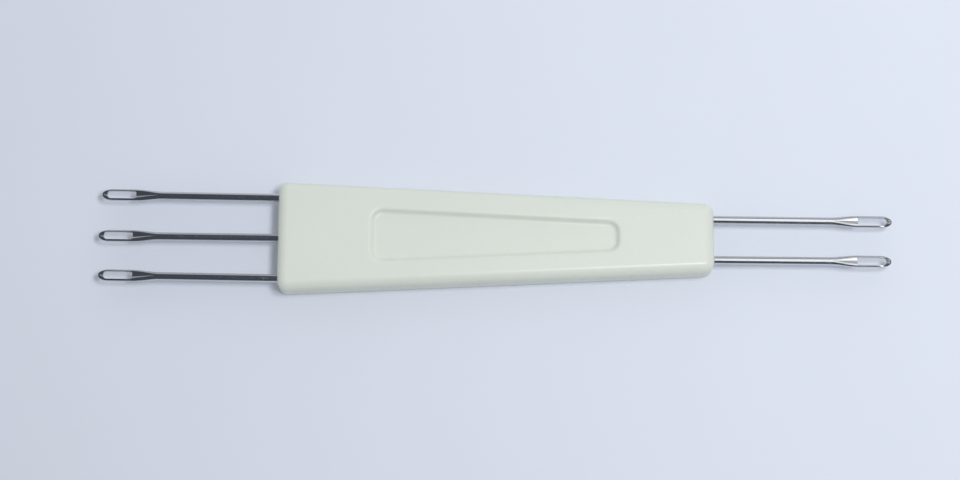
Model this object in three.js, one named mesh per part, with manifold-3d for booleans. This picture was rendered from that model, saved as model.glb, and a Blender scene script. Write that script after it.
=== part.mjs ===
// Double-ended transfer tool for a knitting machine, in millimetres with +Z up.
//
// The tool lies flat on its back. Its three-prong end points to -X and its two-prong end to +X.
// The origin is on the table, under the middle of the tool. The handle is two moulded halves that
// meet in the plane of the wires, and each wire ends in a bent foot that lies between them.

import * as THREE from 'three';
import { mergeVertices } from 'three/addons/utils/BufferGeometryUtils.js';
import Module from 'manifold-3d';

// Driving dimensions: handle
const NEEDLE_PITCH = 9; // from one prong to the next, which is the needle spacing of the bed
const HANDLE_LENGTH = 94.8;
const SIDE_MARGIN = 3.1; // from the outermost wire to the side of the handle, at each end
const LOWER_HEIGHT = 3.5; // from the flat back to the joint between the halves
const UPPER_HEIGHT = 3.5; // from the joint to the flat top
const CROWN_INSET = 2.1; // how far the rounded shoulder draws the top in from the widest outline
const CROWN_HEIGHT = 2; // how far below the flat top the shoulder starts
const TOP_CORNER_RADIUS = 0.1; // corners of the flat top, seen from above
const BACK_EDGE_RADIUS = 0.6;

// Driving dimensions: recess in the top
const RECESS_DEPTH = 0.9;
const RECESS_THREE_END_MARGIN = 19.75; // from the three-prong end of the handle to the rim
const RECESS_TWO_END_MARGIN = 20.2; // and from the two-prong end
const RECESS_SIDE_MARGIN = 4.75; // from the widest outline
const RECESS_WALL_RUN = 1.5; // how far the hollow wall runs in from the rim to the floor
const RECESS_FLOOR_CORNER_RADIUS = 1.5;

// Driving dimensions: wires
const WIRE_DIAMETER = 1.85;
const PRONG_REACH = 39.25; // from the end face to the tip
const THREE_REAR_SHORTFALL = 0.45; // how much less the rear wire of the three-prong end reaches
const THREE_FRONT_SHORTFALL = 0.2; // its front wire
const TWO_FRONT_SHORTFALL = 0.4; // and the front wire of the two-prong end
const EYE_LENGTH = 6.3;
const EYE_WIDTH = 1.6;
const EYE_SIDE_WALL = 0.5;
const EYE_TIP_WALL = 1.2;
const EYE_INNER_CORNER_RADIUS = 0.45;
const TIP_ROUND_LENGTH = 2.4; // length over which the bullet-shaped tip narrows
const TIP_THICKNESS = 0.7;
const HEAD_THICKNESS = 1.3; // through the pressed head, at the eye
const HEAD_SQUARENESS = 4.5; // power of the head's section: 2 is an ellipse, more has flatter faces
const NECK_LENGTH = 5.9; // from the eye back to the round wire
const GROOVE_LENGTH = 5.1; // pressed groove that runs from the neck into the eye
const GROOVE_MARGIN = 0.04; // how much narrower the groove is than the eye, on each side
const GROOVE_FLATNESS = 0.45; // groove depth as a share of its half width
const TIP_GROOVE_LENGTH = 0.9; // the same groove's short run-out beyond the eye

// Driving dimensions: how the wires are held
const ANCHOR_DEPTH = 10; // from the end face to the centre of the bent foot
const FOOT_BEND_RADIUS = 1.6; // to the wire's centre
const FOOT_LENGTH = 3.4; // from the wire's axis to the end of the foot
const WIRE_CLEARANCE = 0.15; // all round the wire in its channel

// Driving dimensions: the two pegs that line the halves up
const PEG_DIAMETER = 2.4;
const PEG_HEIGHT = 1.4; // above the joint, and as deep again is its root in the lower half
const PEG_END_MARGIN = 15.5; // from each end of the handle to the peg's centre
const PEG_SIDE_CLEARANCE = 0.15;
const PEG_END_CLEARANCE = 0.3;

// Each wire: its reach past the end face, how far it leans in degrees, turning clockwise seen from
// above, and the side that its foot turns to, +1 to the rear
const THREE_END_WIRES = [
  { name: 'prong_three_rear', reach: PRONG_REACH - THREE_REAR_SHORTFALL, lean: 0.8, footSide: -1 },
  { name: 'prong_three_middle', reach: PRONG_REACH, lean: 0.5, footSide: 1 },
  { name: 'prong_three_front', reach: PRONG_REACH - THREE_FRONT_SHORTFALL, lean: 0.8, footSide: 1 },
];
const TWO_END_WIRES = [
  { name: 'prong_two_rear', reach: PRONG_REACH, lean: 0.5, footSide: -1 },
  { name: 'prong_two_front', reach: PRONG_REACH - TWO_FRONT_SHORTFALL, lean: 0.3, footSide: 1 },
];

// Fineness of the facets
const WIRE_SIDES = 16;
const ARC_STEPS = 6;
const CROWN_STEPS = 8;

// Sizes that follow
const HANDLE_THICKNESS = LOWER_HEIGHT + UPPER_HEIGHT;
const PLAN_CORNER_RADIUS = TOP_CORNER_RADIUS + CROWN_INSET;
const THREE_END_HALF_WIDTH = (THREE_END_WIRES.length - 1) * NEEDLE_PITCH / 2 + SIDE_MARGIN;
const TWO_END_HALF_WIDTH = (TWO_END_WIRES.length - 1) * NEEDLE_PITCH / 2 + SIDE_MARGIN;
const WIRE_RADIUS = WIRE_DIAMETER / 2;
const HEAD_HALF_WIDTH = EYE_WIDTH / 2 + EYE_SIDE_WALL;
const EYE_END = EYE_TIP_WALL + EYE_LENGTH; // inner end of the eye, from the tip

const wasm = await Module();
wasm.setup();

// Booleans between three.js geometries

function solidFrom(geometry) {
  const bare = geometry.clone();
  bare.deleteAttribute('normal');
  bare.deleteAttribute('uv');
  const merged = mergeVertices(bare);
  const corners = merged.index.array;
  const kept = [];
  for (let i = 0; i < corners.length; i += 3) {
    const [a, b, c] = corners.slice(i, i + 3);
    if (a !== b && b !== c && c !== a) {
      kept.push(a, b, c);
    }
  }
  return new wasm.Manifold(new wasm.Mesh({
    numProp: 3,
    vertProperties: new Float32Array(merged.attributes.position.array),
    triVerts: new Uint32Array(kept),
  }));
}

function geometryFrom(solid) {
  const mesh = solid.getMesh();
  const indexed = new THREE.BufferGeometry();
  indexed.setAttribute('position', new THREE.BufferAttribute(mesh.vertProperties, 3));
  indexed.setIndex(new THREE.BufferAttribute(mesh.triVerts, 1));
  const geometry = indexed.toNonIndexed();
  geometry.computeVertexNormals();
  return geometry;
}

// Outlines

// A closed outline through the corners, anticlockwise, with one radius on every corner.
function roundedOutline(corners, radius) {
  const shape = new THREE.Shape();
  corners.forEach((corner, i) => {
    const before = corners[(i + corners.length - 1) % corners.length];
    const after = corners[(i + 1) % corners.length];
    const inward = corner.clone().sub(before).normalize();
    const outward = after.clone().sub(corner).normalize();
    const turn = Math.atan2(inward.cross(outward), inward.dot(outward));
    const start = corner.clone().addScaledVector(inward, -radius * Math.tan(turn / 2));
    const centre = new THREE.Vector2(-inward.y, inward.x).multiplyScalar(radius).add(start);
    const angle = Math.atan2(start.y - centre.y, start.x - centre.x);
    shape.absarc(centre.x, centre.y, radius, angle, angle + turn, false);
  });
  shape.closePath();
  return shape;
}

// A trapezoid along X that is symmetric about it.
function taperedOutline(startX, endX, startHalfWidth, endHalfWidth, radius) {
  return roundedOutline([
    new THREE.Vector2(startX, -startHalfWidth),
    new THREE.Vector2(endX, -endHalfWidth),
    new THREE.Vector2(endX, endHalfWidth),
    new THREE.Vector2(startX, startHalfWidth),
  ], radius);
}

function halfWidthAt(x) {
  const share = (x + HANDLE_LENGTH / 2) / HANDLE_LENGTH;
  return THREE.MathUtils.lerp(THREE_END_HALF_WIDTH, TWO_END_HALF_WIDTH, share);
}

// Handle

// The handle's outline carried up, with its lower and upper edges rounded to a quarter ellipse.
function handleBlank(straightHeight, edgeHeight, edgeInset, steps) {
  const outline = taperedOutline(-HANDLE_LENGTH / 2, HANDLE_LENGTH / 2,
    THREE_END_HALF_WIDTH, TWO_END_HALF_WIDTH, PLAN_CORNER_RADIUS);
  return new THREE.ExtrudeGeometry(outline, {
    depth: straightHeight,
    bevelThickness: edgeHeight,
    bevelSize: edgeInset,
    bevelOffset: -edgeInset,
    bevelSegments: steps,
    curveSegments: ARC_STEPS,
  });
}

// All that lies between two heights, over the whole handle.
function slab(low, high) {
  const box = new THREE.BoxGeometry(2 * HANDLE_LENGTH, 4 * THREE_END_HALF_WIDTH, high - low);
  box.translate(0, 0, (low + high) / 2);
  return solidFrom(box);
}

function recessCutter() {
  const startX = RECESS_THREE_END_MARGIN - HANDLE_LENGTH / 2;
  const endX = HANDLE_LENGTH / 2 - RECESS_TWO_END_MARGIN;
  const outline = taperedOutline(startX, endX,
    halfWidthAt(startX) - RECESS_SIDE_MARGIN,
    halfWidthAt(endX) - RECESS_SIDE_MARGIN,
    RECESS_FLOOR_CORNER_RADIUS + RECESS_WALL_RUN);
  const cutter = new THREE.ExtrudeGeometry(outline, {
    depth: RECESS_DEPTH,
    bevelThickness: RECESS_DEPTH,
    bevelSize: RECESS_WALL_RUN,
    bevelOffset: -RECESS_WALL_RUN,
    bevelSegments: ARC_STEPS,
    curveSegments: ARC_STEPS,
  });
  cutter.translate(0, 0, HANDLE_THICKNESS);
  return solidFrom(cutter);
}

// Upright round bars at the two peg places, as far below the joint as above it.
function pegs(radius, height) {
  return [-1, 1].map((side) => {
    const peg = new THREE.CylinderGeometry(radius, radius, 2 * height, WIRE_SIDES);
    peg.rotateX(Math.PI / 2);
    peg.translate(side * (HANDLE_LENGTH / 2 - PEG_END_MARGIN), 0, LOWER_HEIGHT);
    return solidFrom(peg);
  });
}

// Wires

// Half the wire's width at a distance from its tip: a bullet tip, an even head, a neck, round wire.
function wireHalfWidth(distance) {
  if (distance < TIP_ROUND_LENGTH) {
    const back = 1 - distance / TIP_ROUND_LENGTH;
    return HEAD_HALF_WIDTH * Math.sqrt(1 - back * back);
  }
  const along = THREE.MathUtils.smoothstep(distance, EYE_END, EYE_END + NECK_LENGTH);
  return THREE.MathUtils.lerp(HEAD_HALF_WIDTH, WIRE_RADIUS, along);
}

// Half its thickness: the tip is pressed thinnest, and the neck swells back to the round wire.
function wireHalfThickness(distance) {
  if (distance < EYE_END) {
    const along = THREE.MathUtils.smoothstep(distance, 0, EYE_TIP_WALL + EYE_WIDTH);
    return THREE.MathUtils.lerp(TIP_THICKNESS, HEAD_THICKNESS, along) / 2;
  }
  const along = THREE.MathUtils.smoothstep(distance, EYE_END, EYE_END + NECK_LENGTH);
  return THREE.MathUtils.lerp(HEAD_THICKNESS / 2, WIRE_RADIUS, along);
}

// The power of its section's outline, from the flat-faced head back to the round wire.
function wireSquareness(distance) {
  const along = THREE.MathUtils.smoothstep(distance, EYE_END, EYE_END + NECK_LENGTH);
  return THREE.MathUtils.lerp(HEAD_SQUARENESS, 2, along);
}

// How high the head's face stands over a point, as far as the wire is straight.
function faceHeight(distance, across) {
  const power = wireSquareness(distance);
  const share = Math.abs(across) / wireHalfWidth(distance);
  return wireHalfThickness(distance) * (1 - share ** power) ** (1 / power);
}

// Bends what lies past a distance along X round a quarter circle, towards +Y or -Y.
function bendFoot(geometry, bendStart, side) {
  const bendLength = FOOT_BEND_RADIUS * Math.PI / 2;
  const position = geometry.attributes.position;
  for (let i = 0; i < position.count; i += 1) {
    const past = position.getX(i) - bendStart;
    if (past > 0) {
      const angle = Math.min(past, bendLength) / FOOT_BEND_RADIUS;
      const straight = Math.max(past - bendLength, 0);
      const radius = FOOT_BEND_RADIUS - side * position.getY(i);
      const x = bendStart + radius * Math.sin(angle) + straight * Math.cos(angle);
      const y = FOOT_BEND_RADIUS - radius * Math.cos(angle) + straight * Math.sin(angle);
      position.setXY(i, x, side * y);
    }
  }
}

// Where a wire's foot is, from its tip along the wire.
function footStations(reach) {
  const bendStart = reach + ANCHOR_DEPTH - FOOT_BEND_RADIUS;
  const bendEnd = bendStart + FOOT_BEND_RADIUS * Math.PI / 2;
  const bend = [];
  for (let i = 0; i <= ARC_STEPS; i += 1) {
    bend.push(THREE.MathUtils.lerp(bendStart, bendEnd, i / ARC_STEPS));
  }
  return { bendStart, bend, end: bendEnd + FOOT_LENGTH - FOOT_BEND_RADIUS };
}

// A round bar along +X, given as pairs of radius and distance.
function turnedBar(profile) {
  const bar = new THREE.LatheGeometry(profile.map(([r, x]) => new THREE.Vector2(r, x)), WIRE_SIDES);
  bar.rotateZ(-Math.PI / 2);
  return bar;
}

// The wire before its eye is pierced: turned to its outline, pressed to its thickness, then bent.
function wireBlank({ reach, footSide }) {
  const { bendStart, bend, end } = footStations(reach);
  const stations = [];
  for (let i = 1; i <= ARC_STEPS; i += 1) {
    stations.push(TIP_ROUND_LENGTH * (1 - Math.cos(i / ARC_STEPS * Math.PI / 2)));
  }
  stations.push(EYE_TIP_WALL + EYE_WIDTH);
  for (let i = 0; i <= CROWN_STEPS; i += 1) {
    stations.push(EYE_END + NECK_LENGTH * i / CROWN_STEPS);
  }
  stations.push(...bend, end);
  const profile = stations.map((distance) => [wireHalfWidth(distance), distance]);
  const blank = turnedBar([[0, 0], ...profile, [0, end]]);
  const position = blank.attributes.position;
  for (let i = 0; i < position.count; i += 1) {
    const distance = position.getX(i);
    const angle = Math.atan2(position.getZ(i), position.getY(i));
    if (Math.hypot(position.getY(i), position.getZ(i)) > 0) {
      const power = 2 / wireSquareness(distance);
      const across = Math.sign(Math.cos(angle)) * Math.abs(Math.cos(angle)) ** power;
      const up = Math.sign(Math.sin(angle)) * Math.abs(Math.sin(angle)) ** power;
      position.setY(i, wireHalfWidth(distance) * across);
      position.setZ(i, wireHalfThickness(distance) * up);
    }
  }
  bendFoot(blank, bendStart, footSide);
  return solidFrom(blank);
}

// The eye: full round at the tip end, with small corners at the inner end.
function eyeCutter() {
  const radius = EYE_WIDTH / 2;
  const shape = new THREE.Shape();
  shape.absarc(EYE_TIP_WALL + radius, 0, radius, Math.PI / 2, Math.PI * 3 / 2, false);
  const corner = EYE_INNER_CORNER_RADIUS;
  shape.absarc(EYE_END - corner, corner - radius, corner, -Math.PI / 2, 0, false);
  shape.absarc(EYE_END - corner, radius - corner, corner, 0, Math.PI / 2, false);
  shape.closePath();
  const depth = 2 * WIRE_DIAMETER; // well past both faces
  const cutter = new THREE.ExtrudeGeometry(shape, {
    depth,
    bevelEnabled: false,
    curveSegments: ARC_STEPS,
  });
  cutter.translate(0, 0, -depth / 2);
  return solidFrom(cutter);
}

// A flattened cone that lies in the surface of the head, from its point to its wide end in the eye.
function grooveCutter(pointX, wideX, face) {
  const wideHalf = EYE_WIDTH / 2 - GROOVE_MARGIN;
  const low = Math.min(pointX, wideX);
  const high = Math.max(pointX, wideX);
  const lowRadius = low === pointX ? 0 : wideHalf;
  const highRadius = high === pointX ? 0 : wideHalf;
  const cone = turnedBar([[0, low], [lowRadius, low], [highRadius, high], [0, high]]);
  const pointHeight = faceHeight(pointX, 0);
  const wideHeight = faceHeight(wideX, wideHalf);
  const position = cone.attributes.position;
  for (let i = 0; i < position.count; i += 1) {
    const share = (position.getX(i) - pointX) / (wideX - pointX);
    const height = THREE.MathUtils.lerp(pointHeight, wideHeight, share);
    position.setZ(i, face * height + position.getZ(i) * GROOVE_FLATNESS);
  }
  return solidFrom(cone);
}

function wireSolid(wire) {
  const insideEye = EYE_WIDTH / 2;
  let solid = wireBlank(wire).subtract(eyeCutter());
  for (const face of [-1, 1]) {
    solid = solid.subtract(grooveCutter(EYE_END + GROOVE_LENGTH, EYE_END - insideEye, face));
    solid = solid.subtract(
      grooveCutter(EYE_TIP_WALL - TIP_GROOVE_LENGTH, EYE_TIP_WALL + insideEye, face));
  }
  return solid;
}

// The channel that the wire lies in, with its clearance, from outside the end face to past the foot.
function channelSolid({ reach, footSide }) {
  const radius = WIRE_RADIUS + WIRE_CLEARANCE;
  const { bendStart, bend, end } = footStations(reach);
  const start = reach - PLAN_CORNER_RADIUS;
  const stations = [start, ...bend, end + WIRE_CLEARANCE];
  const profile = stations.map((distance) => [radius, distance]);
  const channel = turnedBar([[0, start], ...profile, [0, end + WIRE_CLEARANCE]]);
  bendFoot(channel, bendStart, footSide);
  return channel;
}

// The places of one end's wires: where each leaves the end face, turned by its lean.
function wirePlaces(wires, facing) {
  return wires.map((wire, i) => {
    const place = new THREE.Group();
    const y = ((wires.length - 1) / 2 - i) * NEEDLE_PITCH;
    place.position.set(facing * HANDLE_LENGTH / 2, y, LOWER_HEIGHT);
    place.rotation.z = (facing > 0 ? Math.PI : 0) - THREE.MathUtils.degToRad(wire.lean);
    place.updateMatrixWorld();
    return { place, wire: { ...wire, footSide: -facing * wire.footSide } };
  });
}

// Materials

const ivoryPlastic = { color: 0xd9dfd3, roughness: 0.45, metalness: 0 };
const platedSteel = { color: 0xc9cccf, roughness: 0.16, metalness: 1 };

function namedMesh(name, geometry, finish) {
  const mesh = new THREE.Mesh(geometry, new THREE.MeshStandardMaterial(finish));
  mesh.name = name;
  return mesh;
}

// Assembly

const tool = new THREE.Group();

const places = [...wirePlaces(THREE_END_WIRES, -1), ...wirePlaces(TWO_END_WIRES, 1)];
const channels = places.map(({ place, wire }) => {
  const channel = channelSolid(wire);
  channel.translate(-wire.reach, 0, 0);
  channel.applyMatrix4(place.matrixWorld);
  return solidFrom(channel);
});

let upperHalf = solidFrom(
  handleBlank(HANDLE_THICKNESS - CROWN_HEIGHT, CROWN_HEIGHT, CROWN_INSET, CROWN_STEPS));
upperHalf = upperHalf.intersect(slab(LOWER_HEIGHT, 2 * HANDLE_THICKNESS));
upperHalf = upperHalf.subtract(recessCutter());

const lowerBlank = handleBlank(HANDLE_THICKNESS, BACK_EDGE_RADIUS, BACK_EDGE_RADIUS, ARC_STEPS);
lowerBlank.translate(0, 0, BACK_EDGE_RADIUS);
let lowerHalf = solidFrom(lowerBlank).intersect(slab(-HANDLE_THICKNESS, LOWER_HEIGHT));

for (const channel of channels) {
  upperHalf = upperHalf.subtract(channel);
  lowerHalf = lowerHalf.subtract(channel);
}
for (const peg of pegs(PEG_DIAMETER / 2, PEG_HEIGHT)) {
  lowerHalf = lowerHalf.add(peg);
}
for (const socket of pegs(PEG_DIAMETER / 2 + PEG_SIDE_CLEARANCE, PEG_HEIGHT + PEG_END_CLEARANCE)) {
  upperHalf = upperHalf.subtract(socket);
}

tool.add(namedMesh('handle_upper_half', geometryFrom(upperHalf), ivoryPlastic));
tool.add(namedMesh('handle_lower_half', geometryFrom(lowerHalf), ivoryPlastic));
for (const { place, wire } of places) {
  const prong = namedMesh(wire.name, geometryFrom(wireSolid(wire)), platedSteel);
  prong.position.x = -wire.reach;
  place.add(prong);
  tool.add(place);
}

export default tool;
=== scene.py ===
# The looks of a double-ended transfer tool for a knitting machine. It lies flat on its back on pale
# paper, its three-prong end to -X. Sizes are in millimetres until a surface becomes a mesh.

import bmesh
import bpy
import numpy as np
from mathutils import Matrix, Vector


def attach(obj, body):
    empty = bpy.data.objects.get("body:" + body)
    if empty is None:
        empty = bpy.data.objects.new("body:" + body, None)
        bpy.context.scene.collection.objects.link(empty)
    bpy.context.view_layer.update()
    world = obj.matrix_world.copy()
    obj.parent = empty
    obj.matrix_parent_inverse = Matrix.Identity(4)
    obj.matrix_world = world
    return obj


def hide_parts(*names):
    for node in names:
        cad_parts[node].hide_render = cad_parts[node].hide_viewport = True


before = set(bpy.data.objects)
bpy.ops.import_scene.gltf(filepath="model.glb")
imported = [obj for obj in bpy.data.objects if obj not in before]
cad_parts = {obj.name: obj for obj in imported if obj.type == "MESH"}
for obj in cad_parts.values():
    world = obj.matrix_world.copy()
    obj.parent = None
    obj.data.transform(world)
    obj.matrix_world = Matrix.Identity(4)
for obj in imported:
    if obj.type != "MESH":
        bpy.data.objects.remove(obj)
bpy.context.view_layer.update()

MM = 0.001

# Handle
NEEDLE_PITCH = 9.0  # from prong to prong
HANDLE_LENGTH = 94.8
SIDE_MARGIN = 3.1  # from the outer prong's middle line to the handle's side
LOWER_HEIGHT = 3.5  # from the back up to the joint between the halves, where the wires lie
UPPER_HEIGHT = 3.5
CROWN_INSET = 2.1  # how far the rounded shoulder reaches in from the side
CROWN_HEIGHT = 2.0
TOP_CORNER_RADIUS = 0.1  # of the flat top's corners, seen from above
BACK_EDGE_RADIUS = 0.6
SEAM_ROUND = 0.1  # small round on both halves' edges where they meet
TOP_CROSSINGS = (0.03, 0.3, 0.6, 0.96)  # shares of the way over the flat top, shoulder to recess
HANDLE_CREASE = 40  # degrees

# Recess in the top
RECESS_DEPTH = 0.9
RECESS_THREE_END_MARGIN = 19.75
RECESS_TWO_END_MARGIN = 20.2
RECESS_SIDE_MARGIN = 4.75
RECESS_WALL_RUN = 1.5
RECESS_FLOOR_CORNER_RADIUS = 1.5
RECESS_BLEND = 0.2  # how far the wall's soft ends reach past its run, into the top and the floor
RECESS_STEEPNESS = 2.4  # the middle of the wall against its mean slope

# Wires and their heads
WIRE_RADIUS = 0.925
PRONG_REACH = 39.25  # of the longest, from the handle's end face to its tip
THREE_REAR_SHORTFALL = 0.45
THREE_FRONT_SHORTFALL = 0.2
TWO_FRONT_SHORTFALL = 0.4
EYE_LENGTH = 6.3
EYE_WIDTH = 1.6
EYE_SIDE_WALL = 0.5
EYE_TIP_WALL = 1.2
EYE_INNER_CORNER_RADIUS = 0.45
EYE_RIM_ROUND = 0.09
TIP_ROUND_LENGTH = 2.4
NOSE_ROUND_LENGTH = 0.35
TIP_THICKNESS = 0.7
HEAD_THICKNESS = 1.3
HEAD_SQUARENESS = 3.2  # the edges are worn rounder than the solid's
ROUND_SQUARENESS = 2.0
NECK_LENGTH = 5.9
GROOVE_LENGTH = 5.1
GROOVE_MARGIN = 0.04
GROOVE_FLATNESS = 0.45
TIP_GROOVE_LENGTH = 0.9
WIRE_CREASE = 50  # degrees

# How the wires are held
ANCHOR_DEPTH = 10.0
FOOT_BEND_RADIUS = 1.6
FOOT_LENGTH = 3.4
FOOT_END_ROUND = 0.2
CHANNEL_GAP = 0.03  # the plastic grips the wires, so hardly any gap shows
PEG_DIAMETER = 2.4
PEG_HEIGHT = 1.4
PEG_END_MARGIN = 15.5
PEG_SIDE_CLEARANCE = 0.15
PEG_END_CLEARANCE = 0.3

# Each wire: the node it stands for, the end it leaves, its place across, how far it reaches, its
# lean in degrees clockwise from above, and the side that its foot turns to
WIRES = [
    ("prong_three_rear", -1, NEEDLE_PITCH, PRONG_REACH - THREE_REAR_SHORTFALL, 0.8, -1),
    ("prong_three_middle", -1, 0.0, PRONG_REACH, 0.5, 1),
    ("prong_three_front", -1, -NEEDLE_PITCH, PRONG_REACH - THREE_FRONT_SHORTFALL, 0.8, 1),
    ("prong_two_rear", 1, NEEDLE_PITCH / 2, PRONG_REACH, 0.5, -1),
    ("prong_two_front", 1, -NEEDLE_PITCH / 2, PRONG_REACH - TWO_FRONT_SHORTFALL, 0.3, 1),
]

# Sizes that follow
HANDLE_THICKNESS = LOWER_HEIGHT + UPPER_HEIGHT
PLAN_CORNER_RADIUS = TOP_CORNER_RADIUS + CROWN_INSET
THREE_END_HALF_WIDTH = NEEDLE_PITCH + SIDE_MARGIN
TWO_END_HALF_WIDTH = NEEDLE_PITCH / 2 + SIDE_MARGIN
HEAD_HALF_WIDTH = EYE_WIDTH / 2 + EYE_SIDE_WALL
EYE_END = EYE_TIP_WALL + EYE_LENGTH
NECK_END = EYE_END + NECK_LENGTH
BEND_LENGTH = FOOT_BEND_RADIUS * np.pi / 2

# Meshing
MERGE_DISTANCE = 1e-7  # metres, below which two points are one
TINY = 1e-9  # keeps divisions away from zero

# Finishes, their colours in linear light
IVORY = (0.692, 0.743, 0.690, 1.0)
NICKEL = (0.65, 0.665, 0.685, 1.0)
PALE_BLUE_GREY = (0.703, 0.752, 0.861, 1.0)
THROWN_BACK_GREY = (0.745, 0.75, 0.76, 1.0)
GRAIN_ROUGHENING = 0.05
SCUFF_RELIEF = -0.6  # against the grain's height
RUB_ROUGHENING = 0.12
# Painted light: the paper is painted lighter towards the right and the rear, where more light falls on
# it
PAINTED_LIGHT_TO_RIGHT = 0.4  # painted light: how much lighter the paper is made over a metre
PAINTED_LIGHT_TO_REAR = 0.6

# Scuffs: the way each set runs, in radians from X, and the scale of the patches that it comes in
SCUFFS = [(0.35, 171.0), (-0.6, 114.0)]

# Setting
FLOOR_HALF_WIDTH = 1.5  # metres
LAMP_COLOUR = (1.0, 0.99, 0.97)

# Soft light of the world: its level overhead, and what it gains towards the sides and the rear
SOFT_COLOUR = (0.98, 0.99, 1.0)
SOFT_LEVEL = 0.40
SIDE_GAIN = 0.3
REAR_GAIN = 1.4

# The room that polished surfaces see. A direction is told by its X, to the right, and its Y, to the
# rear. Walls begin softly between two values.
ROOM_DIM = (0.068, 0.075, 0.095)
ROOM_BRIGHT = (0.97, 0.98, 1.0)
WALL_LEVEL = 0.6
REAR_WALL_Y = (0.74, 0.90)
CORNER_WALL_X = (0.0, 0.3)
CORNER_WALL_Y = (0.58, 0.72)

# Bright parts of the room, each over the ones before it: the limits of its X and the softness of
# their edges, the same for its Y, and its level
ROOM_PARTS = [
    ("grey_ceiling", (0.26, 0.44, 0.06), (-0.35, 0.60, 0.07), 0.75),
    ("ceiling_strip", (0.06, 0.26, 0.06), (-0.42, 0.60, 0.07), 1.4),
    ("window", (0.24, 0.44, 0.04), (-0.85, -0.38, 0.07), 2.6),
]

# Camera
VIEW_TILT = 13.0  # degrees off straight down, towards the front
VIEW_SIDEWAYS = 0.5  # degrees towards the three-prong end
VIEW_ROLL = 0.27  # degrees
VIEW_DISTANCE = 500.0
VIEW_AIM = (-3.49, -0.23, 3.5)
PIXELS_PER_MM = 4.584
PICTURE_WIDTH = 960
SENSOR_WIDTH = 36.0


# Shared arithmetic

def eased(x, low, high):
    """0 below low, 1 above high and 3t^2 - 2t^3 between, where t is the share of the way."""
    t = np.clip((x - low) / (high - low), 0, 1)
    return t * t * (3 - 2 * t)


def mixed(a, b, share):
    """a times one less the share, plus b times the share."""
    return a + (b - a) * share


def quarter(count):
    """Sines and cosines of evenly spaced angles from 0 to a right angle."""
    angle = np.linspace(0, np.pi / 2, count)
    return np.sin(angle), np.cos(angle)


def crowded(start, end, count):
    """Values from start to end that crowd at the start, as the cosine of an even angle does."""
    return start + (end - start) * (1 - quarter(count)[1])


# From surfaces to meshes

def grid_quads(rows, columns, closed):
    """Quads between neighbouring points of a grid numbered row by row."""
    number = np.arange(rows * columns).reshape(rows, columns)
    if closed:
        number = np.hstack([number, number[:, :1]])
    quads = np.stack([number[:-1, :-1], number[:-1, 1:], number[1:, 1:], number[1:, :-1]], axis=-1)
    return quads.reshape(-1, 4)


def finished_mesh(name, parts, crease):
    """One closed mesh in metres out of several grids of points with their quads.

    Points that coincide are joined, faces are turned outwards, and edges that turn by more than
    crease degrees are sharp.
    """
    sizes = [len(points) for points, _ in parts]
    starts = np.cumsum([0, *sizes[:-1]])
    points = np.concatenate([points for points, _ in parts]) * MM
    quads = np.concatenate([quads + start for (_, quads), start in zip(parts, starts)])
    mesh = bpy.data.meshes.new(name)
    mesh.from_pydata(points, [], quads)
    clean_up(mesh)
    mesh.shade_smooth()
    mesh.set_sharp_from_angle(angle=np.radians(crease))
    return mesh


def clean_up(mesh):
    """Joins points that coincide and turns the faces outwards."""
    shape = bmesh.new()
    shape.from_mesh(mesh)
    bmesh.ops.remove_doubles(shape, verts=shape.verts, dist=MERGE_DISTANCE)
    bmesh.ops.recalc_face_normals(shape, faces=shape.faces)
    shape.to_mesh(mesh)
    shape.free()


def linked(name, mesh):
    """An object at the origin with this mesh."""
    piece = bpy.data.objects.new(name, mesh)
    bpy.context.scene.collection.objects.link(piece)
    return piece


def stand_in(piece, solid, material):
    """The piece stands for the solid's node, moves with the tool and wears the material."""
    piece.data.materials.clear()
    piece.data.materials.append(material)
    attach(piece, "root")
    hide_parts(solid)


def carved(piece, operation, tool):
    """The piece's own mesh joined with, or cut by, another closed mesh."""
    cutter = linked("cutter", tool)
    modifier = piece.modifiers.new("carve", "BOOLEAN")
    modifier.operation = operation
    modifier.solver = "EXACT"
    modifier.object = cutter
    bpy.context.view_layer.update()
    shaped = piece.evaluated_get(bpy.context.evaluated_depsgraph_get())
    mesh = bpy.data.meshes.new_from_object(shaped)
    piece.modifiers.clear()
    piece.data = mesh
    bpy.data.objects.remove(cutter)


# The handle's surfaces

def rounded_trapezoid(start_x, end_x, start_half, end_half, radius, side_steps=24, corner_steps=20):
    """Points, and outward directions, round a trapezoid along X with round corners.

    Each corner's centre lies where the two sides meet once both are moved in by the radius, and
    its arc sweeps from one side's outward direction to the next one's. Even steps join the arcs.
    """
    corner = np.array([
        [start_x, -start_half],
        [end_x, -end_half],
        [end_x, end_half],
        [start_x, start_half],
    ])
    along = np.roll(corner, -1, axis=0) - corner
    along /= np.linalg.norm(along, axis=1, keepdims=True)
    normal = np.stack([along[:, 1], -along[:, 0]], axis=1)
    before = np.roll(normal, 1, axis=0)
    facing = 1 + np.sum(before * normal, axis=1, keepdims=True)
    centre = corner - radius * (before + normal) / facing
    turn = np.arctan2(before[:, 0] * normal[:, 1] - before[:, 1] * normal[:, 0], facing[:, 0] - 1)
    first = np.arctan2(before[:, 1], before[:, 0])
    angle = first[:, None] + turn[:, None] * np.linspace(0, 1, corner_steps + 1)
    arc_way = np.stack([np.cos(angle), np.sin(angle)], axis=-1)
    arc = centre[:, None, :] + radius * arc_way
    share = (np.arange(1, side_steps) / side_steps)[None, :, None]
    side = mixed(arc[:, -1:, :], np.roll(arc[:, :1, :], -1, axis=0), share)
    side_way = np.broadcast_to(normal[:, None, :], side.shape)
    points = np.concatenate([arc, side], axis=1).reshape(-1, 2)
    ways = np.concatenate([arc_way, side_way], axis=1).reshape(-1, 2)
    return points, ways


def swept(outline, profile):
    """The outline drawn in by each profile row's inset, at that row's height: a grid of loops."""
    points, ways = outline
    inset, height = profile.T
    flat = points[None] - ways[None] * inset[:, None, None]
    up = np.broadcast_to(height[:, None, None], (len(height), len(points), 1))
    return np.concatenate([flat, up], axis=-1)


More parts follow.
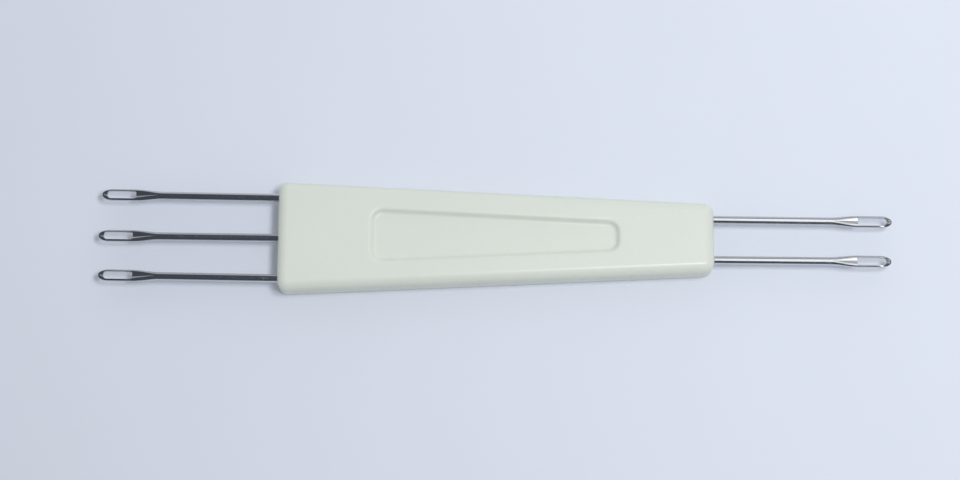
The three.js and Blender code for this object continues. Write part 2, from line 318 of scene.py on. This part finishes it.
def closed_loft(loops):
    """A closed surface through a stack of loops, both ends drawn together to their centres."""
    ends = [np.broadcast_to(loop.mean(axis=0), loop.shape)[None] for loop in (loops[0], loops[-1])]
    stack = np.concatenate([ends[0], loops, ends[1]])
    rows, columns = stack.shape[:2]
    return stack.reshape(-1, 3), grid_quads(rows, columns, closed=True)


def half_width_at(x):
    """Half the handle's width, which changes evenly from end to end."""
    share = (x + HANDLE_LENGTH / 2) / HANDLE_LENGTH
    return mixed(THREE_END_HALF_WIDTH, TWO_END_HALF_WIDTH, share)


def handle_outline():
    """The handle's sides, seen from above."""
    return rounded_trapezoid(-HANDLE_LENGTH / 2, HANDLE_LENGTH / 2,
                             THREE_END_HALF_WIDTH, TWO_END_HALF_WIDTH, PLAN_CORNER_RADIUS)


def recess_outline():
    """The recess' rim, seen from above, its sides parallel to the handle's."""
    start = RECESS_THREE_END_MARGIN - HANDLE_LENGTH / 2
    end = HANDLE_LENGTH / 2 - RECESS_TWO_END_MARGIN
    return rounded_trapezoid(start, end,
                             half_width_at(start) - RECESS_SIDE_MARGIN,
                             half_width_at(end) - RECESS_SIDE_MARGIN,
                             RECESS_FLOOR_CORNER_RADIUS + RECESS_WALL_RUN)


def upper_half_mesh():
    """From the joint up: a small round, the wall, an elliptical shoulder, the flat top, the recess.

    The shoulder's inset is CROWN_INSET (1 - cos a) and its height CROWN_HEIGHT sin a for an angle a
    from 0 to 90 degrees. The recess wall sinks as the hyperbolic tangent does, from -1 to 1 over the
    run, so it rolls over at the rim and runs out into the floor without an edge.
    """
    wall_top = HANDLE_THICKNESS - CROWN_HEIGHT
    sine, cosine = quarter(count=5)
    edge = np.stack([SEAM_ROUND * (1 - sine), LOWER_HEIGHT + SEAM_ROUND * (1 - cosine)], axis=1)
    wall = np.array([[0, LOWER_HEIGHT + 2 * SEAM_ROUND], [0, wall_top - SEAM_ROUND]])
    sine, cosine = quarter(count=25)
    shoulder = np.stack([CROWN_INSET * (1 - cosine), wall_top + CROWN_HEIGHT * sine], axis=1)
    outside = swept(handle_outline(), np.concatenate([edge, wall, shoulder]))

    way = np.linspace(-1, 1, num=41)
    inset = RECESS_WALL_RUN / 2 + (RECESS_WALL_RUN / 2 + RECESS_BLEND) * way
    sunk = RECESS_DEPTH * (1 + np.tanh(RECESS_STEEPNESS * way) / np.tanh(RECESS_STEEPNESS)) / 2
    recess_wall = np.stack([inset, HANDLE_THICKNESS - sunk], axis=1)
    floor = np.array([[inset[-1] + SEAM_ROUND, HANDLE_THICKNESS - RECESS_DEPTH]])
    inside = swept(recess_outline(), np.concatenate([recess_wall, floor]))

    share = np.array(TOP_CROSSINGS)[:, None, None]
    top = mixed(outside[-1:], inside[:1], share)
    loops = np.concatenate([outside, top, inside])
    return finished_mesh("handle_top", [closed_loft(loops)], HANDLE_CREASE)


def lower_half_mesh():
    """From the flat back up: a quarter-round edge, the wall, and a small round at the joint."""
    sine, cosine = quarter(count=13)
    back = np.stack([BACK_EDGE_RADIUS * (1 - sine), BACK_EDGE_RADIUS * (1 - cosine)], axis=1)
    wall = np.array([[0, BACK_EDGE_RADIUS + SEAM_ROUND], [0, LOWER_HEIGHT - 2 * SEAM_ROUND]])
    sine, cosine = quarter(count=5)
    edge = np.stack([SEAM_ROUND * (1 - cosine), LOWER_HEIGHT - SEAM_ROUND * (1 - sine)], axis=1)
    flat = np.array([[BACK_EDGE_RADIUS + SEAM_ROUND, 0]])
    loops = swept(handle_outline(), np.concatenate([flat, back, wall, edge]))
    return finished_mesh("handle_back", [closed_loft(loops)], HANDLE_CREASE)


def turned(radius, distance, sides=48):
    """Loops about X: a circle of each given radius at its distance."""
    angle = np.arange(sides) * 2 * np.pi / sides
    x = np.broadcast_to(distance[:, None], (len(distance), sides))
    return np.stack([x, radius[:, None] * np.cos(angle), radius[:, None] * np.sin(angle)], axis=-1)


def peg_mesh(radius, height):
    """Two upright round bars, as far below the joint as above it."""
    parts = []
    for side in (-1, 1):
        loops = turned(np.full(2, radius), np.array([-height, height]))[..., [2, 1, 0]]
        loops = loops + np.array([side * (HANDLE_LENGTH / 2 - PEG_END_MARGIN), 0, LOWER_HEIGHT])
        parts.append(closed_loft(loops))
    return finished_mesh("pegs", parts, HANDLE_CREASE)


# The wires' surfaces. Along a wire, s is the distance from its tip.

def half_width(s):
    """A quarter ellipse over the tip, an even head, then an eased neck down to the round wire."""
    back = np.clip(1 - s / TIP_ROUND_LENGTH, 0, 1)
    head = HEAD_HALF_WIDTH * np.sqrt(1 - back * back)
    return mixed(head, WIRE_RADIUS, eased(s, EYE_END, NECK_END))


def half_thickness(s):
    """Pressed thin at the tip with a quarter-round nose, thicker at the eye, round past the neck."""
    back = np.clip(1 - s / NOSE_ROUND_LENGTH, 0, 1)
    pressed = mixed(TIP_THICKNESS, HEAD_THICKNESS, eased(s, 0, EYE_TIP_WALL + EYE_WIDTH)) / 2
    pressed = pressed * np.sqrt(1 - back * back)
    return mixed(pressed, WIRE_RADIUS, eased(s, EYE_END, NECK_END))


def squareness(s):
    """The power of the section's outline: 2 is round, and the head's is higher and flatter."""
    return mixed(HEAD_SQUARENESS, ROUND_SQUARENESS, eased(s, EYE_END, NECK_END))


def eye_half_width(s):
    """A half circle at the tip end, small quarter circles at the inner end, nothing outside."""
    full = EYE_WIDTH / 2
    corner = EYE_INNER_CORNER_RADIUS
    into = np.clip(s - EYE_TIP_WALL, 0, full)
    left = np.clip(EYE_END - s, 0, corner)
    round_end = np.sqrt(np.clip(full ** 2 - (full - into) ** 2, 0, None))
    square_end = full - corner + np.sqrt(np.clip(corner ** 2 - (corner - left) ** 2, 0, None))
    return np.where((into > 0) & (left > 0), np.minimum(round_end, square_end), 0)


def groove_half_width(s):
    """Widest in the eye, shrinking evenly to a point up the neck and another short of the tip."""
    up_neck = (EYE_END + GROOVE_LENGTH - s) / (GROOVE_LENGTH + EYE_WIDTH / 2)
    to_tip = (s - EYE_TIP_WALL + TIP_GROOVE_LENGTH) / (TIP_GROOVE_LENGTH + EYE_WIDTH / 2)
    return (EYE_WIDTH / 2 - GROOVE_MARGIN) * np.clip(np.minimum(up_neck, to_tip), 0, 1)


def wire_stations(reach):
    """Distances from the tip at which the wire has a section, crowded where its form turns.

    With them come the distances at which the foot begins to bend and at which it ends.
    """
    bend_start = reach + ANCHOR_DEPTH - FOOT_BEND_RADIUS
    end = bend_start + BEND_LENGTH + FOOT_LENGTH - FOOT_BEND_RADIUS
    corner = EYE_INNER_CORNER_RADIUS
    hair = 0.002  # the eye's square inner end closes within this length
    values = np.concatenate([
        crowded(0, NOSE_ROUND_LENGTH, count=10),
        crowded(0, TIP_ROUND_LENGTH, count=26),
        crowded(EYE_TIP_WALL, EYE_TIP_WALL + EYE_WIDTH / 2, count=18),
        np.linspace(EYE_TIP_WALL + EYE_WIDTH / 2, EYE_END - corner, num=14),
        crowded(EYE_END - hair, EYE_END - corner, count=12),
        np.linspace(EYE_END, NECK_END, num=49),
        np.linspace(NECK_END, bend_start, num=13),
        np.linspace(bend_start, bend_start + BEND_LENGTH, num=15),
        crowded(end, end - FOOT_END_ROUND, count=7),
    ])
    return np.unique(np.round(values, decimals=4)), bend_start, end


def bent_foot(x, y, bend_start, side):
    """What lies past bend_start goes round a quarter circle towards +Y or -Y, then straight on."""
    past = x - bend_start
    angle = np.clip(past, 0, BEND_LENGTH) / FOOT_BEND_RADIUS
    straight = np.clip(past - BEND_LENGTH, 0, None)
    radius = FOOT_BEND_RADIUS - side * y
    round_x = bend_start + radius * np.sin(angle) + straight * np.cos(angle)
    round_y = side * (FOOT_BEND_RADIUS - radius * np.cos(angle) + straight * np.sin(angle))
    return np.where(past > 0, round_x, x), np.where(past > 0, round_y, y)


def placed(x, y, z, wire):
    """From distances along the wire to the tool: turned by the lean at the end face it leaves."""
    _, facing, across, reach, lean, _ = wire
    turn = (np.pi if facing > 0 else 0) - np.radians(lean)
    local = x - reach
    return np.stack([
        facing * HANDLE_LENGTH / 2 + local * np.cos(turn) - y * np.sin(turn),
        across + local * np.sin(turn) + y * np.cos(turn),
        LOWER_HEIGHT + z,
    ], axis=-1)


def wire_mesh(wire):
    """A drawn wire with its end pressed into a head, pierced by an eye, and its foot bent over.

    Half of each section runs from the eye, or the middle line, over the face, round the side and
    back underneath. Its outline is (y/w)^n + (z/t)^n = 1, taken at even angles. Between the rim and
    the eye it dips: as the parabola of the pressed groove in the neck, as a small quarter round
    along the eye. The other half is its mirror image, and the eye's walls join the two faces.
    """
    name, facing, _, reach, _, foot_side = wire
    s, bend_start, end = wire_stations(reach)
    closing = np.sqrt(1 - np.clip(1 - (end - s) / FOOT_END_ROUND, 0, 1) ** 2)
    wide = np.maximum(half_width(s) * closing, TINY)[:, None]
    thick = (half_thickness(s) * closing)[:, None]
    power = squareness(s)[:, None]
    eye = eye_half_width(s)[:, None]
    groove = groove_half_width(s)[:, None]
    rim = np.maximum(groove, np.where(eye > 0, eye + EYE_RIM_ROUND, 0))

    share = rim / wide
    level = (1 - share ** power) ** (1 / power)
    angle = np.arctan2(level, share) * np.linspace(1, -1, num=45)[None, :]
    cosine = np.abs(np.cos(angle))
    sine = np.abs(np.sin(angle))
    far = (cosine ** power + sine ** power) ** (-1 / power)
    face_y = wide * far * cosine
    face_z = thick * far * sine * np.sign(angle)

    step = np.linspace(1, 0, num=9)[None, :]
    along_eye = eased(eye + EYE_RIM_ROUND - groove, 0, 2 * EYE_RIM_ROUND)
    groove_y = rim - (rim - eye) * step
    groove_dip = GROOVE_FLATNESS * (rim - groove_y ** 2 / np.maximum(rim, TINY))
    round_y = rim - (rim - eye) * np.sin(step * np.pi / 2)
    round_dip = EYE_RIM_ROUND * (1 - np.cos(step * np.pi / 2))
    dip_y = mixed(groove_y, round_y, along_eye)
    dip_z = thick * level - mixed(groove_dip, round_dip, along_eye)

    half_y = np.concatenate([dip_y[:, :-1], face_y, dip_y[:, -2::-1]], axis=1)
    half_z = np.concatenate([dip_z[:, :-1], face_z, -dip_z[:, -2::-1]], axis=1)
    through = np.where((s >= EYE_TIP_WALL) & (s <= EYE_END))[0]
    wall_z = half_z[through, :1] * np.linspace(1, -1, num=9)[None, :]
    wall_y = np.broadcast_to(half_y[through, :1], wall_z.shape)

    parts = []
    for mirror in (1, -1):
        for y, z, distance in ((half_y, half_z, s), (wall_y, wall_z, s[through])):
            x = np.broadcast_to(distance[:, None], y.shape)
            bent_x, bent_y = bent_foot(x, mirror * y, bend_start, -facing * foot_side)
            points = placed(bent_x, bent_y, z, wire)
            parts.append((points.reshape(-1, 3), grid_quads(*y.shape, closed=False)))
    return finished_mesh(name, parts, WIRE_CREASE)


def channel_mesh():
    """Where the five wires lie: each wire's path, wider by a hair, from outside the end face in."""
    parts = []
    for wire in WIRES:
        _, facing, _, reach, _, foot_side = wire
        s, bend_start, end = wire_stations(reach)
        outside = reach - PLAN_CORNER_RADIUS
        path = np.concatenate([[outside], s[s >= bend_start][:-1], [end + CHANNEL_GAP]])
        loops = turned(np.full(len(path), WIRE_RADIUS + CHANNEL_GAP), path)
        x, y = bent_foot(loops[..., 0], loops[..., 1], bend_start, -facing * foot_side)
        parts.append(closed_loft(placed(x, y, loops[..., 2], wire)))
    return finished_mesh("channels", parts, HANDLE_CREASE)


# Materials

def feed(tree, socket, value):
    """Links a socket to another one, or sets it to a value."""
    if isinstance(value, bpy.types.NodeSocket):
        tree.links.new(value, socket)
    else:
        socket.default_value = value


def node(tree, kind, settings=(), **inputs):
    """A shader node with its settings, and its inputs set to a value or fed from a socket."""
    made = tree.nodes.new(kind)
    for name, value in dict(settings).items():
        setattr(made, name, value)
    for name, value in inputs.items():
        feed(tree, made.inputs[name.replace("_", " ")], value)
    return made


def worked(tree, operation, *values):
    """The result of a sum on values or sockets."""
    made = tree.nodes.new("ShaderNodeMath")
    made.operation = operation
    for socket, value in zip(made.inputs, values):
        feed(tree, socket, value)
    return made.outputs[0]


def new_group(name, inputs, outputs):
    """An empty shader node group with named sockets: each input has a kind and a first value."""
    group = bpy.data.node_groups.new(name, "ShaderNodeTree")
    for label, kind, value in inputs:
        socket = group.interface.new_socket(name=label, in_out="INPUT", socket_type=kind)
        if value is not None:
            socket.default_value = value
    for label, kind in outputs:
        group.interface.new_socket(name=label, in_out="OUTPUT", socket_type=kind)
    return group, node(group, "NodeGroupInput"), node(group, "NodeGroupOutput")


def drawn_out(tree, place, stretch):
    """The place with its X divided, which draws a pattern out along X."""
    parted = node(tree, "ShaderNodeSeparateXYZ", Vector=place)
    drawn = worked(tree, "DIVIDE", parted.outputs["X"], stretch)
    joined = node(tree, "ShaderNodeCombineXYZ", X=drawn, Y=parted.outputs["Y"], Z=parted.outputs["Z"])
    return joined.outputs["Vector"]


def fine_grain_group():
    """Even small grain, drawn out along X by the stretch, as a height and a soft mask."""
    group, given, result = new_group(
        "fine_grain",
        [("Vector", "NodeSocketVector", None),
         ("Scale", "NodeSocketFloat", 1000.0),
         ("Stretch", "NodeSocketFloat", 1.0)],
        [("Height", "NodeSocketFloat"), ("Mask", "NodeSocketFloat")])
    place = drawn_out(group, given.outputs["Vector"], given.outputs["Stretch"])
    noise = node(group, "ShaderNodeTexNoise", Vector=place,
                 Scale=given.outputs["Scale"], Detail=3.0, Roughness=0.6)
    mask = node(group, "ShaderNodeMapRange", Value=noise.outputs["Fac"],
                From_Min=0.35, From_Max=0.65, To_Min=0.0, To_Max=1.0)
    group.links.new(noise.outputs["Fac"], result.inputs["Height"])
    group.links.new(mask.outputs["Result"], result.inputs["Mask"])
    return group


def shade_drift_group():
    """A colour that drifts a little lighter and darker over the piece in soft, large patches."""
    group, given, result = new_group(
        "shade_drift",
        [("Color", "NodeSocketColor", None),
         ("Vector", "NodeSocketVector", None),
         ("Scale", "NodeSocketFloat", 60.0),
         ("Amount", "NodeSocketFloat", 0.03)],
        [("Color", "NodeSocketColor")])
    noise = node(group, "ShaderNodeTexNoise", Vector=given.outputs["Vector"],
                 Scale=given.outputs["Scale"], Detail=4.0, Roughness=0.55)
    centred = worked(group, "SUBTRACT", noise.outputs["Fac"], 0.5)
    swing = worked(group, "MULTIPLY", centred, given.outputs["Amount"])
    value = worked(group, "ADD", swing, 1.0)
    shade = node(group, "ShaderNodeHueSaturation", Value=value, Color=given.outputs["Color"])
    group.links.new(shade.outputs["Color"], result.inputs["Color"])
    return group


def handling_marks_group():
    """Sparse hairline scuffs in two directions, as a mask that is 1 in the middle of each.

    A hairline is where two long cells of a pattern meet, and it shows in patches of noise only.
    """
    group, given, result = new_group(
        "handling_marks",
        [("Vector", "NodeSocketVector", None),
         ("Scale", "NodeSocketFloat", 90.0),
         ("Length", "NodeSocketFloat", 12.0),
         ("Width", "NodeSocketFloat", 0.012)],
        [("Mask", "NodeSocketFloat")])
    masks = []
    for turn, patch_scale in SCUFFS:
        turned_way = node(group, "ShaderNodeVectorRotate", {"rotation_type": "Z_AXIS"},
                          Vector=given.outputs["Vector"], Angle=turn)
        place = drawn_out(group, turned_way.outputs["Vector"], given.outputs["Length"])
        cells = node(group, "ShaderNodeTexVoronoi", {"feature": "DISTANCE_TO_EDGE"},
                     Vector=place, Scale=given.outputs["Scale"])
        near = node(group, "ShaderNodeMapRange", Value=cells.outputs["Distance"],
                    From_Min=0.0, From_Max=given.outputs["Width"], To_Min=1.0, To_Max=0.0)
        patch = node(group, "ShaderNodeTexNoise", Vector=given.outputs["Vector"], Scale=patch_scale)
        here = node(group, "ShaderNodeMapRange", Value=patch.outputs["Fac"],
                    From_Min=0.52, From_Max=0.66, To_Min=0.0, To_Max=1.0)
        masks.append(worked(group, "MULTIPLY", near.outputs["Result"], here.outputs["Result"]))
    group.links.new(worked(group, "MAXIMUM", *masks), result.inputs["Mask"])
    return group


def use_group(tree, group, **inputs):
    """The group placed in a material with values of its own."""
    return node(tree, "ShaderNodeGroup", {"node_tree": group}, **inputs)


def new_material(name):
    """A material with one shader, and the place on the piece, in metres, to lay patterns by."""
    material = bpy.data.materials.new(name)
    material.use_nodes = True
    tree = material.node_tree
    tree.nodes.clear()
    place = node(tree, "ShaderNodeTexCoord").outputs["Object"]
    shader = node(tree, "ShaderNodeBsdfPrincipled")
    node(tree, "ShaderNodeOutputMaterial", Surface=shader.outputs["BSDF"])
    return material, tree, place, shader


def ivory_plastic(groups):
    """Semi-gloss moulded plastic: a faint mould texture, slow shade drift and hairline scuffs."""
    material, tree, place, shader = new_material("ivory_plastic")
    drift = use_group(tree, groups["drift"], Color=IVORY, Vector=place, Scale=70.0, Amount=0.05)
    grain = use_group(tree, groups["grain"], Vector=place, Scale=3500.0, Stretch=1.0)
    marks = use_group(tree, groups["marks"], Vector=place, Scale=120.0, Length=10.0, Width=0.01)
    worn = node(tree, "ShaderNodeMapRange", Value=marks.outputs["Mask"],
                From_Min=0.0, From_Max=1.0, To_Min=0.27, To_Max=0.40)
    rough = worked(tree, "MULTIPLY_ADD", grain.outputs["Mask"], GRAIN_ROUGHENING, worn.outputs["Result"])
    relief = worked(tree, "MULTIPLY_ADD", marks.outputs["Mask"], SCUFF_RELIEF, grain.outputs["Height"])
    bump = node(tree, "ShaderNodeBump", Strength=0.35, Distance=0.00002, Height=relief)
    tree.links.new(drift.outputs["Color"], shader.inputs["Base Color"])
    tree.links.new(rough, shader.inputs["Roughness"])
    tree.links.new(bump.outputs["Normal"], shader.inputs["Normal"])
    shader.inputs["IOR"].default_value = 1.5
    return material


def plated_steel(groups):
    """Bright nickel plate on drawn wire: fine draw lines along it and a few rubbed marks."""
    material, tree, place, shader = new_material("plated_steel")
    drift = use_group(tree, groups["drift"], Color=NICKEL, Vector=place, Scale=300.0, Amount=0.08)
    grain = use_group(tree, groups["grain"], Vector=place, Scale=6000.0, Stretch=150.0)
    marks = use_group(tree, groups["marks"], Vector=place, Scale=500.0, Length=6.0, Width=0.02)
    rough = node(tree, "ShaderNodeMapRange", Value=grain.outputs["Mask"],
                 From_Min=0.0, From_Max=1.0, To_Min=0.10, To_Max=0.17)
    worn = worked(tree, "MULTIPLY_ADD", marks.outputs["Mask"], RUB_ROUGHENING, rough.outputs["Result"])
    bump = node(tree, "ShaderNodeBump", Strength=0.04, Distance=0.00001, Height=grain.outputs["Height"])
    tree.links.new(drift.outputs["Color"], shader.inputs["Base Color"])
    tree.links.new(worn, shader.inputs["Roughness"])
    tree.links.new(bump.outputs["Normal"], shader.inputs["Normal"])
    shader.inputs["Metallic"].default_value = 1.0
    return material


def pale_paper(groups):
    """Smooth pale blue-grey paper with a faint tooth, and painted light: its colour is made a little
    lighter to the right and the rear, where more light falls.

    The light that it throws back on the tool is greyer.
    """
    material, tree, place, shader = new_material("pale_paper")
    drift = use_group(tree, groups["drift"], Color=PALE_BLUE_GREY, Vector=place,
                      Scale=25.0, Amount=0.03)
    grain = use_group(tree, groups["grain"], Vector=place, Scale=1500.0, Stretch=1.0)
    bump = node(tree, "ShaderNodeBump", Strength=0.5, Distance=0.00002, Height=grain.outputs["Height"])
    # Painted light: the paper's colour is made lighter towards the right and the rear
    parted = node(tree, "ShaderNodeSeparateXYZ", Vector=place)
    level = worked(tree, "MULTIPLY_ADD", parted.outputs["X"], PAINTED_LIGHT_TO_RIGHT,
                   worked(tree, "MULTIPLY_ADD", parted.outputs["Y"], PAINTED_LIGHT_TO_REAR, 1.0))
    painted_lit_paper = node(tree, "ShaderNodeHueSaturation", Value=level, Color=drift.outputs["Color"])
    path = node(tree, "ShaderNodeLightPath")
    shown = node(tree, "ShaderNodeMixRGB", Fac=path.outputs["Is Diffuse Ray"],
                 Color1=painted_lit_paper.outputs["Color"], Color2=THROWN_BACK_GREY)
    tree.links.new(shown.outputs["Color"], shader.inputs["Base Color"])
    tree.links.new(bump.outputs["Normal"], shader.inputs["Normal"])
    shader.inputs["Roughness"].default_value = 0.9
    return material


# Setting

def make_floor(material):
    """A large flat sheet of the paper, under the tool's back."""
    half = FLOOR_HALF_WIDTH
    corners = [(-half, -half, 0), (half, -half, 0), (half, half, 0), (-half, half, 0)]
    mesh = bpy.data.meshes.new("floor")
    mesh.from_pydata(corners, [], [(0, 1, 2, 3)])
    mesh.materials.append(material)
    floor = linked("floor", mesh)


def make_camera():
    """Looks down at the aim point, tilted to the front and a little to the three-prong end."""
    back = Vector((-np.tan(np.radians(VIEW_SIDEWAYS)), -np.tan(np.radians(VIEW_TILT)), 1)).normalized()
    right = (Vector((1, 0, 0)) - back * back.x).normalized()
    right = Matrix.Rotation(np.radians(VIEW_ROLL), 3, back) @ right
    up = back.cross(right)
    data = bpy.data.cameras.new("camera")
    data.type = "PERSP"
    data.sensor_width = SENSOR_WIDTH
    data.lens = SENSOR_WIDTH * PIXELS_PER_MM * VIEW_DISTANCE / PICTURE_WIDTH
    data.clip_start = 0.01
    data.clip_end = 20
    camera = bpy.data.objects.new("camera", data)
    bpy.context.scene.collection.objects.link(camera)
    place = Vector(VIEW_AIM) * MM + back * VIEW_DISTANCE * MM
    camera.matrix_world = Matrix.Translation(place) @ Matrix((right, up, back)).transposed().to_4x4()
    bpy.context.scene.camera = camera


def new_lamp(name, energy, place, width, depth):
    """A rectangular lamp at a place, in metres, that faces the origin and isn't seen itself."""
    data = bpy.data.lights.new(name, "AREA")
    data.shape = "RECTANGLE"
    data.size = width
    data.size_y = depth
    data.energy = energy
    data.color = LAMP_COLOUR
    lamp = bpy.data.objects.new(name, data)
    lamp.location = place
    lamp.rotation_euler = (-lamp.location).to_track_quat("-Z", "Y").to_euler()
    lamp.visible_camera = False
    bpy.context.scene.collection.objects.link(lamp)
    return lamp


def make_lamps(shiny):
    """A broad lamp to the right lights everything and throws the shadows to the left.

    It shows in no surface. A small one overhead does nothing but put a sheen on the shiny pieces.
    """
    soft_lamp = new_lamp("soft_lamp", energy=1.72, place=(0.160, -0.034, 0.55), width=0.22, depth=0.12)
    soft_lamp.visible_glossy = False
    sheen_lamp = new_lamp("sheen_lamp", energy=0.52, place=(0.112, -0.040, 0.55), width=0.07, depth=0.05)
    sheen_lamp.visible_diffuse = False
    lit = bpy.data.collections.new("sheen_lit")
    for piece in shiny:
        lit.objects.link(piece)
    sheen_lamp.light_linking.receiver_collection = lit


def stepped(tree, value, low, high):
    """0 where the value is below low, 1 above high, and smooth between."""
    ramp = node(tree, "ShaderNodeMapRange", {"interpolation_type": "SMOOTHSTEP"},
                Value=value, From_Min=low, From_Max=high)
    return ramp.outputs["Result"]


def between(tree, value, low, high, soft):
    """1 where the value lies between low and high, and 0 outside, with soft ends."""
    above = stepped(tree, value, low - soft, low + soft)
    below = worked(tree, "SUBTRACT", 1.0, stepped(tree, value, high - soft, high + soft))
    return worked(tree, "MULTIPLY", above, below)


def blended(tree, share, first, second):
    """The first shader where the share is 0 and the second where it is 1."""
    mix = node(tree, "ShaderNodeMixShader", Fac=share)
    tree.links.new(first, mix.inputs[1])
    tree.links.new(second, mix.inputs[2])
    return mix.outputs["Shader"]


def glow(tree, colour, level):
    """Light of one colour from the world, at a level."""
    return node(tree, "ShaderNodeBackground", Color=(*colour, 1.0), Strength=level).outputs["Background"]


def make_world():
    """Soft light from all round, more from the rear.

    Its level for a direction (x, y, z) is SOFT_LEVEL (1 + SIDE_GAIN x^2 + REAR_GAIN y^2), the last
    part for the rear alone. Polished surfaces see a room instead: dim and bluish overhead and to
    the left, grey walls low at the rear, a bright strip of ceiling to the right with a greyer part
    beyond, and a window in front on that side.
    """
    world = bpy.data.worlds.new("room")
    world.use_nodes = True
    tree = world.node_tree
    tree.nodes.clear()
    way = node(tree, "ShaderNodeTexCoord").outputs["Generated"]
    parted = node(tree, "ShaderNodeSeparateXYZ", Vector=way)
    right, rear = parted.outputs["X"], parted.outputs["Y"]

    low_side = worked(tree, "MULTIPLY_ADD", worked(tree, "MULTIPLY", right, right), SIDE_GAIN, 1.0)
    low_rear = worked(tree, "POWER", worked(tree, "MAXIMUM", rear, 0.0), 2.0)
    slope = worked(tree, "MULTIPLY_ADD", low_rear, REAR_GAIN, low_side)
    soft = glow(tree, SOFT_COLOUR, worked(tree, "MULTIPLY", slope, SOFT_LEVEL))

    corner_wall = worked(tree, "MULTIPLY",
                         stepped(tree, rear, *CORNER_WALL_Y), stepped(tree, right, *CORNER_WALL_X))
    wall = worked(tree, "MAXIMUM", corner_wall, stepped(tree, rear, *REAR_WALL_Y))
    seen = blended(tree, wall, glow(tree, ROOM_DIM, 1.0), glow(tree, ROOM_BRIGHT, WALL_LEVEL))
    for _, x_limits, y_limits, level in ROOM_PARTS:
        part = worked(tree, "MULTIPLY",
                      between(tree, right, *x_limits), between(tree, rear, *y_limits))
        seen = blended(tree, part, seen, glow(tree, ROOM_BRIGHT, level))

    path = node(tree, "ShaderNodeLightPath")
    both = blended(tree, path.outputs["Is Glossy Ray"], soft, seen)
    node(tree, "ShaderNodeOutputWorld", Surface=both)
    bpy.context.scene.world = world


# Assembly

groups = {"grain": fine_grain_group(), "drift": shade_drift_group(), "marks": handling_marks_group()}
plastic = ivory_plastic(groups)
steel = plated_steel(groups)

upper_half = linked("upper_half", upper_half_mesh())
lower_half = linked("lower_half", lower_half_mesh())
socket_radius = PEG_DIAMETER / 2 + PEG_SIDE_CLEARANCE
socket_height = PEG_HEIGHT + PEG_END_CLEARANCE
carved(lower_half, "UNION", peg_mesh(PEG_DIAMETER / 2, PEG_HEIGHT))
carved(upper_half, "DIFFERENCE", peg_mesh(socket_radius, socket_height))
carved(upper_half, "DIFFERENCE", channel_mesh())
carved(lower_half, "DIFFERENCE", channel_mesh())
stand_in(upper_half, "handle_upper_half", plastic)
stand_in(lower_half, "handle_lower_half", plastic)
for wire in WIRES:
    name = wire[0]
    stand_in(linked(name + "_wire", wire_mesh(wire)), name, steel)

make_floor(pale_paper(groups))
make_camera()
make_lamps([upper_half, lower_half])
make_world()
bpy.context.scene.view_settings.view_transform = "Standard"
